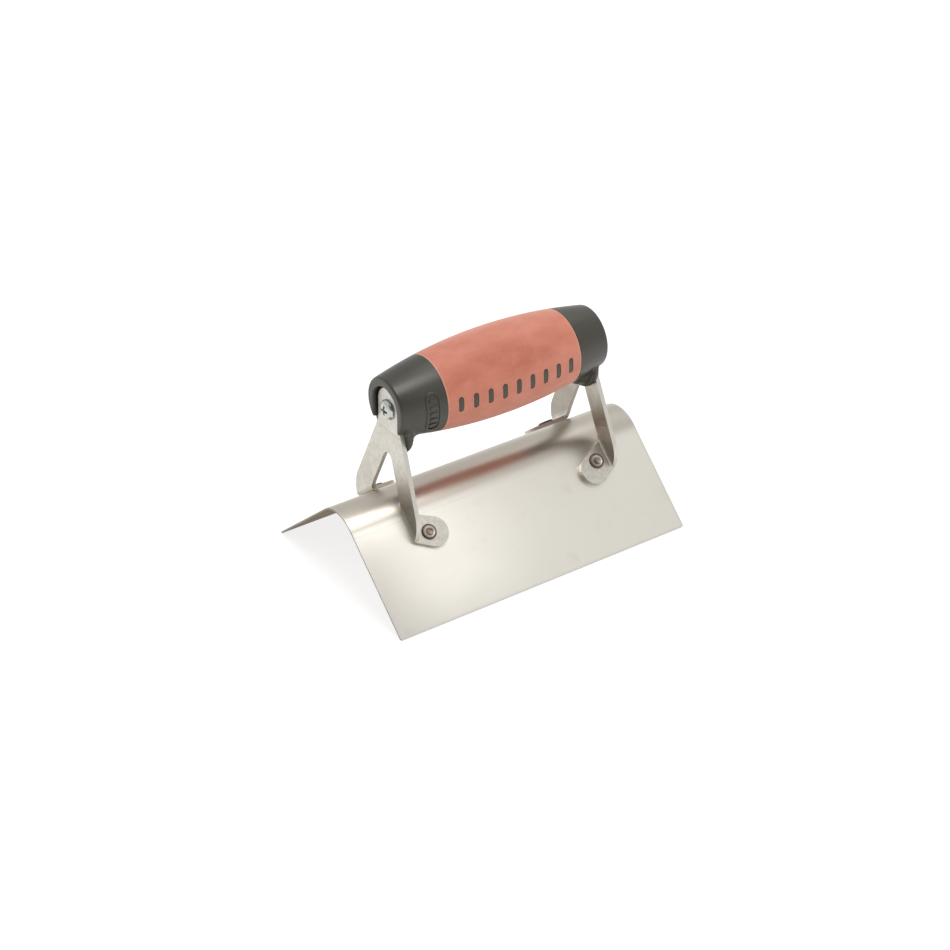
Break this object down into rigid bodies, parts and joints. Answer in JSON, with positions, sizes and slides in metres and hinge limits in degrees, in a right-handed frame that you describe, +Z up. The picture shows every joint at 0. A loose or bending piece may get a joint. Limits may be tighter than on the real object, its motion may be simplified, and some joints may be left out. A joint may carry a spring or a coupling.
{
  "type": "outside corner trowel",
  "caption": "Outside corner trowel: a bent stainless blade with two bracket legs and a barrel-shaped grip handle over its ridge.",
  "frame": {"origin": "bottom centre of the bounding box: under the middle of the blade's ridge, on the plane its lower edges rest on", "axes": "+X along the ridge of the blade, +Z up out of the ridge towards the handle, +Y across the blade"},
  "size_m": [0.1524, 0.098, 0.1022],
  "materials": {
    "stainless_blade": "satin",
    "bracket_steel": "satin",
    "stud_steel": "satin with heat tint",
    "core_plastic": "semi-gloss moulded",
    "grip_rubber": "soft matt",
    "screw_zinc": "bright zinc"
  },
  "bodies": {
    "root": {"blade": "stainless_blade", "left_bracket": "bracket_steel", "right_bracket": "bracket_steel", "left_front_stud": "stud_steel", "left_back_stud": "stud_steel", "right_front_stud": "stud_steel", "right_back_stud": "stud_steel", "handle_core": "core_plastic", "grip_sleeve": "grip_rubber", "left_screw": "screw_zinc", "right_screw": "screw_zinc"}
  },
  "joints": []
}
